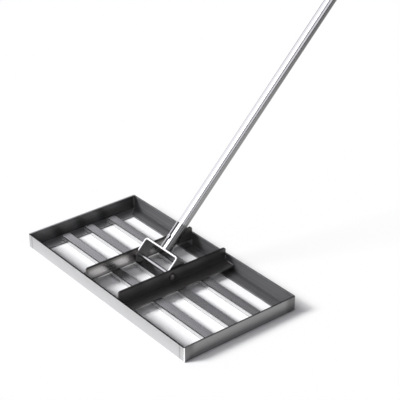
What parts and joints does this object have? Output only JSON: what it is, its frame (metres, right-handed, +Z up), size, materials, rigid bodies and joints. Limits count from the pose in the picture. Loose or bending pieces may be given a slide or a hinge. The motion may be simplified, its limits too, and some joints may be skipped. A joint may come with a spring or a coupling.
{
  "type": "lawn leveling rake",
  "caption": "Lawn leveling rake: a low slotted steel tray with cross slats and a bridge, and a long tube handle on a yoke that swings over the tray.",
  "frame": {"origin": "middle of the tray's underside, on the ground", "axes": "+X along the tray's length, +Y towards the side that the handle leans to, +Z up"},
  "size_m": [0.48, 1.2191, 1.1246],
  "materials": {
    "tray_steel": "polished stainless sheet with a fine grain along the folds",
    "slat_steel": "polished stainless tube with a fine grain along its length",
    "bridge_steel": "polished stainless sheet, mirror bright",
    "yoke_steel": "polished stainless strip and tube",
    "tube_steel": "polished stainless tube",
    "fastener_steel": "bright zinc plating",
    "nylon": "natural nylon",
    "insert_aluminium": "turned, plain",
    "grip_rubber": "matt black, moulded",
    "cap_plastic": "matt black, moulded"
  },
  "bodies": {
    "head": {"front_rail": "tray_steel", "rear_rail": "tray_steel", "left_end_rail": "tray_steel", "right_end_rail": "tray_steel", "front_slat": "slat_steel", "middle_slat": "slat_steel", "rear_slat": "slat_steel", "left_bridge_angle": "bridge_steel", "right_bridge_angle": "bridge_steel", "pivot_bolt": "fastener_steel", "pivot_washers": "fastener_steel", "pivot_spacers": "nylon", "pivot_lock_nut": "fastener_steel", "lock_nut_ring": "nylon"},
    "handle": {"yoke_bracket": "yoke_steel", "handle_socket": "yoke_steel", "cross_bolt": "fastener_steel", "cross_bolt_nut": "fastener_steel", "handle_lower_tube": "tube_steel", "joint_socket_insert": "insert_aluminium", "joint_stud_insert": "insert_aluminium", "handle_upper_tube": "tube_steel", "handle_grip": "grip_rubber", "grip_end_cap": "cap_plastic"}
  },
  "joints": [
    {"name": "handle_swing", "type": "hinge", "parent": "head", "child": "handle", "pos_m": [0, -0.0025, 0.028], "axis": [1, 0, 0], "range_deg": [-38, 128]}
  ]
}
